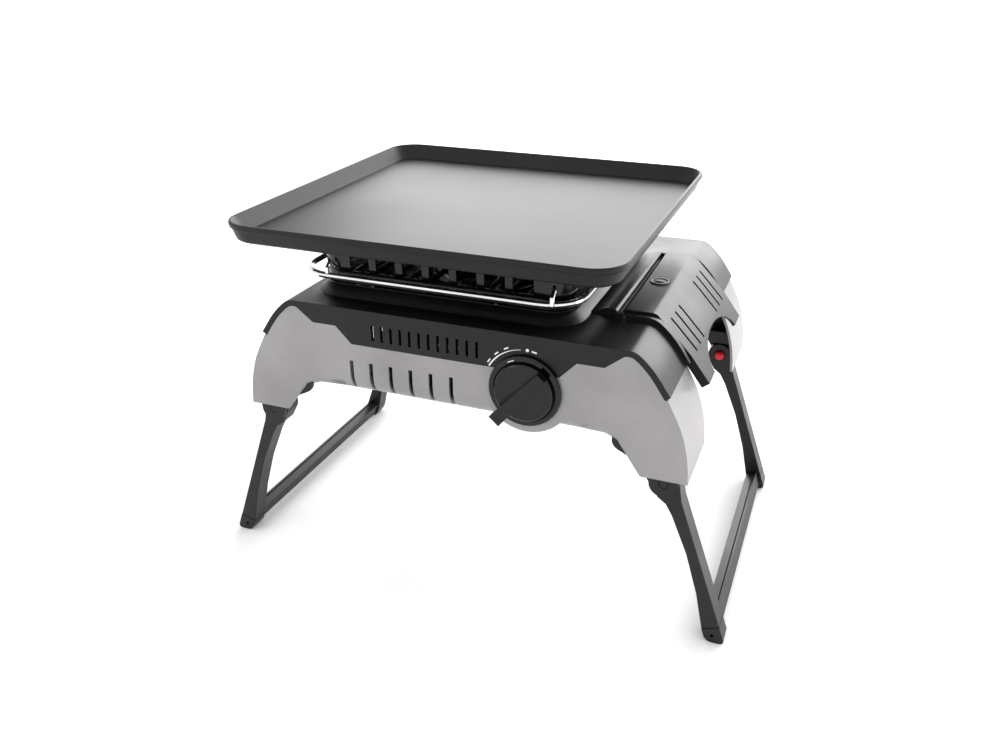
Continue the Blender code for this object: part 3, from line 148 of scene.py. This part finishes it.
# The parts of the noise that the two colours, and the two degrees of gloss, are spread over.
TONE_SPAN = (0.45, 0.95)
GLOSS_SPAN = (0.3, 0.7)


def surface(name, colours, roughness, grain_mm, drift_mm, bump, bump_mm, edge_mm, **sockets):
    """Grain, colour drift, worn gloss and softened edges, from sizes in millimetres.

    What doesn't vary over the piece goes straight to the shader's own sockets.
    """
    made = bpy.data.materials.new(name)
    made.use_nodes = True
    tree = made.node_tree
    shader = tree.nodes["Principled BSDF"]
    for socket, value in sockets.items():
        shader.inputs[socket.replace("_", " ")].default_value = value
    coords = add_node(tree, "ShaderNodeTexCoord")
    grain = add_node(
        tree,
        "ShaderNodeTexNoise",
        values={"Scale": 1 / (grain_mm * MM), "Detail": 4.0, "Roughness": 0.6},
        links={"Vector": (coords, "Object")},
    )
    drift = add_node(
        tree,
        "ShaderNodeTexNoise",
        values={"Scale": 1 / (drift_mm * MM), "Detail": 3.0, "Roughness": 0.5},
        links={"Vector": (coords, "Object")},
    )
    blend = add_node(
        tree,
        "ShaderNodeMath",
        {"operation": "MULTIPLY_ADD"},
        {1: GRAIN_SHARE},
        {0: (grain, "Fac"), 2: (drift, "Fac")},
    )
    tone = add_node(tree, "ShaderNodeValToRGB", links={"Fac": (blend, "Value")})
    for stop, position, colour in zip(tone.color_ramp.elements, TONE_SPAN, colours):
        stop.position = position
        stop.color = linear(colour)
    tree.links.new(tone.outputs["Color"], shader.inputs["Base Color"])
    gloss = add_node(
        tree,
        "ShaderNodeMapRange",
        values={
            "From Min": GLOSS_SPAN[0],
            "From Max": GLOSS_SPAN[1],
            "To Min": roughness[0],
            "To Max": roughness[1],
        },
        links={"Value": (drift, "Fac")},
    )
    tree.links.new(gloss.outputs["Result"], shader.inputs["Roughness"])
    edge = add_node(tree, "ShaderNodeBevel", {"samples": 4}, {"Radius": edge_mm * MM})
    relief = add_node(
        tree,
        "ShaderNodeBump",
        values={"Strength": bump, "Distance": bump_mm * MM},
        links={"Height": (grain, "Fac"), "Normal": (edge, "Normal")},
    )
    tree.links.new(relief.outputs["Normal"], shader.inputs["Normal"])
    return made


def silver_lacquer():
    """Aluminium-flake lacquer sprayed on moulded ABS: light neutral grey, satin, a fine sparkle."""
    return surface(
        "silver_flake_lacquer",
        colours=("8d8b8b", "a3a1a1"),
        roughness=(0.38, 0.46),
        grain_mm=0.9,
        drift_mm=70,
        bump=0.05,
        bump_mm=0.05,
        edge_mm=0.9,
        Metallic=0.25,
        Coat_Weight=0.25,
        Coat_Roughness=0.25,
    )


def moulded_black():
    """Moulded black polypropylene with a spark-eroded grain: satin, bright at grazing angles."""
    return surface(
        "spark_grain_black_polypropylene",
        colours=("111011", "1a191a"),
        roughness=(0.30, 0.40),
        grain_mm=0.8,
        drift_mm=55,
        bump=0.10,
        bump_mm=0.06,
        edge_mm=0.9,
        IOR=1.49,
    )


def polished_black():
    """Polished black ABS of the knob: deep gloss with faint finger haze."""
    return surface(
        "polished_black_abs",
        colours=("080708", "0f0e0f"),
        roughness=(0.12, 0.22),
        grain_mm=2.5,
        drift_mm=18,
        bump=0.03,
        bump_mm=0.04,
        edge_mm=0.5,
        IOR=1.54,
    )


def nonstick():
    """PTFE coat on cast aluminium: near black, fine pale speckle, a wide soft sheen."""
    made = surface(
        "speckled_nonstick_coat",
        colours=("191819", "2a292a"),
        roughness=(0.39, 0.42),
        grain_mm=1.3,
        drift_mm=120,
        bump=0.12,
        bump_mm=0.08,
        edge_mm=1.0,
        IOR=1.40,
    )
    tree = made.node_tree
    shader = tree.nodes["Principled BSDF"]
    coords = tree.nodes["Texture Coordinate"]
    speck = add_node(
        tree,
        "ShaderNodeTexVoronoi",
        values={"Scale": 1 / (1.9 * MM), "Randomness": 1.0},
        links={"Vector": (coords, "Object")},
    )
    dots = add_node(
        tree,
        "ShaderNodeMapRange",
        values={"From Min": 0.10, "From Max": 0.16, "To Min": 0.35, "To Max": 0.0},
        links={"Value": (speck, "Distance")},
    )
    tone = shader.inputs["Base Color"].links[0].from_node
    mix = add_node(tree, "ShaderNodeMix", {"data_type": "RGBA"}, links={0: (dots, "Result")})
    tree.links.new(tone.outputs["Color"], mix.inputs[6])
    mix.inputs[7].default_value = linear("6a6866")
    tree.links.new(mix.outputs[2], shader.inputs["Base Color"])
    return made


def vitreous_enamel():
    """Black glass enamel fired on pressed steel: wet gloss with a slow orange-peel ripple."""
    return surface(
        "black_vitreous_enamel",
        colours=("0d0d0e", "171718"),
        roughness=(0.10, 0.20),
        grain_mm=5,
        drift_mm=40,
        bump=0.12,
        bump_mm=0.12,
        edge_mm=0.6,
        IOR=1.55,
    )


def powder_coat():
    """Black powder coat on the leg frames: even satin with a soft pebble."""
    return surface(
        "black_powder_coat",
        colours=("161617", "212122"),
        roughness=(0.34, 0.44),
        grain_mm=1.1,
        drift_mm=45,
        bump=0.12,
        bump_mm=0.08,
        edge_mm=0.8,
        IOR=1.50,
    )


def chrome_plate():
    """Chrome-plated wire: mirror bright, very slight polishing haze."""
    return surface(
        "bright_chrome_plate",
        colours=("dcdee0", "f0f1f2"),
        roughness=(0.05, 0.12),
        grain_mm=3,
        drift_mm=25,
        bump=0.02,
        bump_mm=0.03,
        edge_mm=0.3,
        Metallic=1.0,
    )


def stainless():
    """Drawn stainless steel: bright, with fine drawing lines that blur its reflections."""
    return surface(
        "drawn_stainless_steel",
        colours=("a9abad", "cfd0d1"),
        roughness=(0.16, 0.30),
        grain_mm=0.7,
        drift_mm=12,
        bump=0.08,
        bump_mm=0.03,
        edge_mm=0.3,
        Metallic=1.0,
    )


def zinc_sheet():
    """Hot-dip galvanised sheet: dull grey with crystal spangles about a centimetre wide."""
    made = surface(
        "spangled_zinc_sheet",
        colours=("8b8f92", "b4b7b9"),
        roughness=(0.34, 0.50),
        grain_mm=1.5,
        drift_mm=30,
        bump=0.06,
        bump_mm=0.05,
        edge_mm=0.3,
        Metallic=1.0,
    )
    tree = made.node_tree
    shader = tree.nodes["Principled BSDF"]
    coords = tree.nodes["Texture Coordinate"]
    spangle = add_node(
        tree,
        "ShaderNodeTexVoronoi",
        values={"Scale": 1 / (9 * MM)},
        links={"Vector": (coords, "Object")},
    )
    gloss = add_node(
        tree,
        "ShaderNodeMapRange",
        values={"To Min": 0.30, "To Max": 0.52},
        links={"Value": (spangle, "Color")},
    )
    tree.links.new(gloss.outputs["Result"], shader.inputs["Roughness"])
    return made


def cast_iron():
    """Sand-cast burner body: coarse, dark, slightly scorched."""
    return surface(
        "sand_cast_iron",
        colours=("3f3d3b", "6a6764"),
        roughness=(0.50, 0.68),
        grain_mm=1.4,
        drift_mm=14,
        bump=0.35,
        bump_mm=0.25,
        edge_mm=0.6,
        Metallic=0.8,
    )


def machined_brass():
    """Turned brass of the valve and regulator, lightly tarnished."""
    return surface(
        "turned_brass",
        colours=("a07a3c", "c79d55"),
        roughness=(0.20, 0.34),
        grain_mm=0.6,
        drift_mm=9,
        bump=0.06,
        bump_mm=0.03,
        edge_mm=0.3,
        Metallic=1.0,
    )


def drawn_copper():
    """Drawn copper pipe, dulled where it was handled."""
    return surface(
        "drawn_copper",
        colours=("8f5238", "bd7650"),
        roughness=(0.24, 0.40),
        grain_mm=1.0,
        drift_mm=10,
        bump=0.05,
        bump_mm=0.03,
        edge_mm=0.2,
        Metallic=1.0,
    )


def glazed_ceramic():
    """White glazed alumina of the spark electrode and its unit."""
    return surface(
        "glazed_white_ceramic",
        colours=("dcd8ce", "ece9e2"),
        roughness=(0.16, 0.28),
        grain_mm=2,
        drift_mm=12,
        bump=0.04,
        bump_mm=0.04,
        edge_mm=0.3,
        IOR=1.60,
    )


def red_acetal():
    """Self-coloured red acetal of the catch buttons: warm, waxy gloss."""
    return surface(
        "red_acetal",
        colours=("c01c26", "dc3038"),
        roughness=(0.22, 0.32),
        grain_mm=0.8,
        drift_mm=6,
        bump=0.04,
        bump_mm=0.03,
        edge_mm=0.3,
        IOR=1.48,
        Subsurface_Weight=0.15,
        Subsurface_Radius=(2 * MM, 0.6 * MM, 0.4 * MM),
    )


def silicone_sleeve():
    """Black silicone sleeve of the spark lead: soft and matt."""
    return surface(
        "silicone_sleeve",
        colours=("191919", "262626"),
        roughness=(0.55, 0.70),
        grain_mm=0.5,
        drift_mm=8,
        bump=0.08,
        bump_mm=0.03,
        edge_mm=0.2,
        IOR=1.43,
    )


def pad_print():
    """White pad-printing ink: thin, flat, very slightly uneven."""
    return surface(
        "white_pad_print_ink",
        colours=("d9d9d8", "f2f2f1"),
        roughness=(0.45, 0.58),
        grain_mm=0.4,
        drift_mm=5,
        bump=0.03,
        bump_mm=0.02,
        edge_mm=0.05,
        IOR=1.50,
    )


def hot_stamp():
    """Grey foil stamped into the lid badge: thin satin lines."""
    return surface(
        "grey_stamping_foil",
        colours=("8e9092", "b8babc"),
        roughness=(0.30, 0.40),
        grain_mm=0.5,
        drift_mm=6,
        bump=0.03,
        bump_mm=0.02,
        edge_mm=0.05,
        Metallic=0.6,
    )


def recess_shade_finish():
    """Painted shade for the two oblong recesses on the shell's bottom radius: satin grey, darker
    than the lacquer.
    """
    return surface(
        "painted_recess_shade_grey",
        colours=("6f6d6c", "807e7d"),
        roughness=(0.36, 0.46),
        grain_mm=0.8,
        drift_mm=6,
        bump=0.06,
        bump_mm=0.04,
        edge_mm=0.3,
        IOR=1.54,
    )


def floor_card():
    """Matt white studio card, with the faintest unevenness."""
    return surface(
        "white_studio_card",
        colours=("f3f3f2", "fafaf9"),
        roughness=(0.80, 0.90),
        grain_mm=6,
        drift_mm=900,
        bump=0.0,
        bump_mm=0.01,
        edge_mm=0.0,
        IOR=1.45,
    )


materials = {
    "silver_paint": silver_lacquer(),
    "black_moulding": moulded_black(),
    "gloss_black": polished_black(),
    "nonstick_coat": nonstick(),
    "black_enamel": vitreous_enamel(),
    "black_leg_paint": powder_coat(),
    "chrome_wire": chrome_plate(),
    "bright_steel": stainless(),
    "galvanised_sheet": zinc_sheet(),
    "cast_burner": cast_iron(),
    "valve_brass": machined_brass(),
    "pipe_copper": drawn_copper(),
    "white_ceramic": glazed_ceramic(),
    "red_button": red_acetal(),
    "lead_sleeve": silicone_sleeve(),
    "print_ink": pad_print(),
    "stamp_foil": hot_stamp(),
    # Painted shade: a darker grey for the oblong recesses on the shell's bottom radius.
    "recess_shade_grey": recess_shade_finish(),
    "floor_card": floor_card(),
}


# ------------------------------------------------------------------- mesh helpers
def finish_mesh(bm, name, material, smooth_angle=40):
    """Turn a drawn mesh into a piece: faces outward, one finish, sharp past the angle."""
    bmesh.ops.recalc_face_normals(bm, faces=bm.faces)
    mesh = bpy.data.meshes.new(name)
    bm.to_mesh(mesh)
    bm.free()
    mesh.materials.append(material)
    mesh.shade_smooth()
    mesh.set_sharp_from_angle(angle=math.radians(smooth_angle))
    made = bpy.data.objects.new(name, mesh)
    bpy.context.scene.collection.objects.link(made)
    return made


def slab(bm, loop, lift):
    """A thin raised patch: a closed loop of points, thickened by the vector lift."""
    low = [bm.verts.new(p) for p in loop]
    high = [bm.verts.new(Vector(p) + lift) for p in loop]
    bm.faces.new(low)
    bm.faces.new(high)
    for i in range(len(loop)):
        j = (i + 1) % len(loop)
        bm.faces.new((low[i], low[j], high[j], high[i]))


def ring_patch(bm, centre, across, up, inner, outer, lift, steps=40):
    """A thin raised ring in the plane of two unit vectors."""
    rows = []
    for radius, raised in ((inner, 0), (outer, 0), (outer, 1), (inner, 1)):
        row = []
        for i in range(steps):
            a = math.tau * i / steps
            point = centre + across * (radius * math.cos(a)) + up * (radius * math.sin(a))
            row.append(bm.verts.new(point + lift * raised))
        rows.append(row)
    for first, second in zip(rows, rows[1:] + rows[:1]):
        for i in range(steps):
            j = (i + 1) % steps
            bm.faces.new((first[i], first[j], second[j], second[i]))


def dome(bm, centre, axis, radius, height, steps=16, rings=4):
    """A low rivet head on a plane, pointing along axis."""
    axis = axis.normalized()
    across = axis.orthogonal().normalized()
    up = axis.cross(across)
    rows = []
    for k in range(rings):
        a = math.pi / 2 * k / rings
        row = []
        for i in range(steps):
            t = math.tau * i / steps
            side = (across * math.cos(t) + up * math.sin(t)) * radius * math.cos(a)
            row.append(bm.verts.new(centre + side + axis * height * math.sin(a)))
        rows.append(row)
    tip = bm.verts.new(centre + axis * height)
    bm.faces.new(rows[0])
    for first, second in zip(rows, rows[1:]):
        for i in range(steps):
            j = (i + 1) % steps
            bm.faces.new((first[i], first[j], second[j], second[i]))
    for i in range(steps):
        bm.faces.new((rows[-1][i], rows[-1][(i + 1) % steps], tip))


# ------------------------------------------------------------------ CAD finishes
CREASE = math.radians(32)
SEAM = 0.005 * MM
LEG_ARMS = [f"leg_arm_{end}_{side}" for end in ("front", "rear") for side in ("left", "right")]
# Radius in millimetres of the edges that light runs along.
ROUNDED = {
    "control_knob": 0.9,
    "dial_plate": 0.3,
    "griddle_plate": 0.5,
    "top_cover": 0.5,
    "cartridge_lid": 0.6,
    "lower_shell": 0.5,
    **dict.fromkeys(LEG_ARMS, 0.8),
}


def finish_nodes():
    """Give each piece its material, smooth its curves and round its handled edges."""
    slot_of = {part["node"]: part["material_slot"] for part in frame["record"]["subparts"]}
    for name, node in nodes.items():
        node.data.materials.clear()
        node.data.materials.append(materials[slot_of[name]])
        node.data.shade_smooth()
        if "custom_normal" in node.data.attributes:
            node.data.attributes.remove(node.data.attributes["custom_normal"])
        seam = node.modifiers.new("joined_seams", "WELD")
        seam.merge_threshold = SEAM
        if name in ROUNDED:
            edge = node.modifiers.new("rounded_edges", "BEVEL")
            edge.width = ROUNDED[name] * MM
            edge.segments = 3
            edge.limit_method = "ANGLE"
            edge.angle_limit = CREASE
            edge.harden_normals = True
        else:
            crease = node.modifiers.new("crisp_edges", "EDGE_SPLIT")
            crease.split_angle = CREASE


# ------------------------------------------------------------------ printed marks
INK = 0.12 * MM
SCALE_GAP = 4.2 * MM
SCALE_START, SCALE_END, SCALE_STEPS = 97, 152, 24
SCALE_THIN, SCALE_THICK = 0.4 * MM, 1.5 * MM
FLAMES = (116, 131, 146)
OFF_DOT, OFF_DOT_RADIUS = 88, 1.5 * MM
DASH_START, DASH_END = 82, 75
START_TICK = (108, 111, 114, 117, 120)


def dial_marks():
    """Heat scale and off dot round the knob, printed on the cover, and the plate's start tick."""
    low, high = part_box("dial_plate")
    centre = Vector(((low[0] + high[0]) / 2, 0, (low[2] + high[2]) / 2))
    plate_radius = (high[0] - low[0]) / 2
    lift = Vector((0, -INK, 0))
    right, up = Vector((1, 0, 0)), Vector((0, 0, 1))

    def on_face(y):
        """Points on an upright face at depth y, by radius and degrees round the knob."""

        def at(radius, degrees):
            a = math.radians(degrees)
            return Vector((centre.x + radius * math.cos(a), y, centre.z + radius * math.sin(a)))

        return at

    bm = bmesh.new()
    at = on_face(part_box("top_cover")[0][1])
    inner = plate_radius + SCALE_GAP
    below, above = [], []
    for i in range(SCALE_STEPS + 1):
        degrees = SCALE_START + (SCALE_END - SCALE_START) * i / SCALE_STEPS
        width = SCALE_THIN + (SCALE_THICK - SCALE_THIN) * i / SCALE_STEPS
        below.append(at(inner, degrees))
        above.append(at(inner + width, degrees))
    slab(bm, below + above[::-1], lift)
    for degrees in FLAMES:
        foot, head = inner + 2.8 * MM, inner + 4.0 * MM
        tick = [at(foot, degrees - 3.2), at(foot, degrees + 3.2)]
        tick += [at(head, degrees + 3.0), at(head, degrees - 3.0)]
        slab(bm, tick, lift)
    dot = at(inner + 0.4 * MM, OFF_DOT)
    ring_patch(bm, dot, right, up, 0.02 * MM, OFF_DOT_RADIUS, lift, 20)
    foot, head = inner - 0.5 * MM, inner + 1.0 * MM
    dash = [at(foot, DASH_START), at(foot, DASH_END), at(head, DASH_END), at(head, DASH_START)]
    slab(bm, dash, lift)
    marks = finish_mesh(bm, "heat_scale_print", materials["print_ink"])
    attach(marks, "base")

    bm = bmesh.new()
    at = on_face(low[1])
    tick = [at(plate_radius - 3.4 * MM, degrees) for degrees in START_TICK]
    tick += [at(plate_radius - 2.6 * MM, degrees) for degrees in START_TICK[::-1]]
    slab(bm, tick, lift)
    tick = finish_mesh(bm, "dial_start_tick", materials["print_ink"])
    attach(tick, "base")


FOIL = 0.10 * MM
BADGE_SINK = 0.35 * MM
# A rim's inner and outer radius, and a spoke's distance from the middle and half angle there.
OUTER_RIM = (7.6 * MM, 8.5 * MM)
INNER_RIM = (5.6 * MM, 6.1 * MM)
SPOKES = 12
SPOKE_FOOT, SPOKE_HEAD = (2.2 * MM, 0.10), (5.0 * MM, 0.05)


def lid_badge():
    """Plain stamped rings on the round badge of the lid."""
    low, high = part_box("lid_emblem")
    centre = Vector(((low[0] + high[0]) / 2, (low[1] + high[1]) / 2, high[2]))
    sunk = centre - Vector((0, 0, BADGE_SINK))
    right, up = Vector((1, 0, 0)), Vector((0, 1, 0))
    foil = Vector((0, 0, FOIL))
    bm = bmesh.new()
    ring_patch(bm, centre, right, up, *OUTER_RIM, foil)
    ring_patch(bm, sunk, right, up, *INNER_RIM, foil)
    (foot, foot_turn), (head, head_turn) = SPOKE_FOOT, SPOKE_HEAD
    outline = ((foot, -foot_turn), (head, -head_turn), (head, head_turn), (foot, foot_turn))
    for i in range(SPOKES):
        a = math.tau * i / SPOKES
        spoke = []
        for radius, turn in outline:
            along = right * math.cos(a + turn) + up * math.sin(a + turn)
            spoke.append(sunk + along * radius)
        slab(bm, spoke, foil)
    badge = finish_mesh(bm, "lid_badge_rings", materials["stamp_foil"])
    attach(badge, "lid")


RIVET_SHARES = (0.17, 0.23, 0.72)
RIVET_INSET, RIVET_RADIUS, RIVET_HEIGHT = 2.6 * MM, 1.9 * MM, 1.1 * MM


def tray_rivets():
    """Small bright rivets along the front and back edges of the tray, under the wind ring."""
    low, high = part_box("drip_tray")
    bm = bmesh.new()
    for share in RIVET_SHARES:
        x = low[0] + (high[0] - low[0]) * share
        for y in (low[1] + RIVET_INSET, high[1] - RIVET_INSET):
            dome(bm, Vector((x, y, high[2])), Vector((0, 0, 1)), RIVET_RADIUS, RIVET_HEIGHT)
    rivets = finish_mesh(bm, "tray_rivets", materials["bright_steel"], 60)
    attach(rivets, "tray")


SHELL_BOTTOM_RADIUS = 20 * MM
# Two oblong patches of painted shade on the shell's bottom radius, where it has recesses: their
# ends along x, their place and spread round the bend, how far they sink and rise, their crown and
# steps.
SHADE_PATCH_ENDS = ((-125 * MM, -107 * MM), (116 * MM, 132 * MM))
SHADE_PATCH_TURN, SHADE_PATCH_HALF_TURN = math.radians(36), math.radians(9)
SHADE_PATCH_SINK, SHADE_PATCH_RISE = 0.3 * MM, 0.25 * MM
SHADE_PATCH_CROWN = 0.86
SHADE_PATCH_STEPS = 28


def paint_recess_shade_patches():
    """Two thin oblong darker grey patches on the bottom radius of the shell: painted shade of the
    recesses there.
    """
    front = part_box("lower_shell")[0][1]
    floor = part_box("bottom_plate")[1][2]
    bend_y, bend_z = front + SHELL_BOTTOM_RADIUS, floor + SHELL_BOTTOM_RADIUS
    bm = bmesh.new()
    for left, right in SHADE_PATCH_ENDS:
        middle, half = (left + right) / 2, (right - left) / 2
        rim, crown = [], []
        for i in range(SHADE_PATCH_STEPS):
            a = math.tau * i / SHADE_PATCH_STEPS
            for row, share, lift in ((rim, 1.0, -SHADE_PATCH_SINK), (crown, SHADE_PATCH_CROWN, SHADE_PATCH_RISE)):
                x = middle + half * share * math.cos(a)
                turn = SHADE_PATCH_TURN + SHADE_PATCH_HALF_TURN * share * math.sin(a)
                r = SHELL_BOTTOM_RADIUS + lift
                point = (x, bend_y - r * math.cos(turn), bend_z - r * math.sin(turn))
                row.append(bm.verts.new(point))
        bm.faces.new(rim)
        bm.faces.new(crown)
        for i in range(SHADE_PATCH_STEPS):
            j = (i + 1) % SHADE_PATCH_STEPS
            bm.faces.new((rim[i], rim[j], crown[j], crown[i]))
    # The darker grey of these patches is painted shade of the recesses.
    shade_patches = finish_mesh(bm, "shell_recess_shade_patches", materials["recess_shade_grey"])
    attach(shade_patches, "base")


finish_nodes()
paint_recess_shade_patches()
dial_marks()
lid_badge()
tray_rivets()
set_stage()

boxes = {"cad": cad_box, "scene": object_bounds()}
{k: [[float(v) for v in corner] for corner in b] for k, b in boxes.items()}
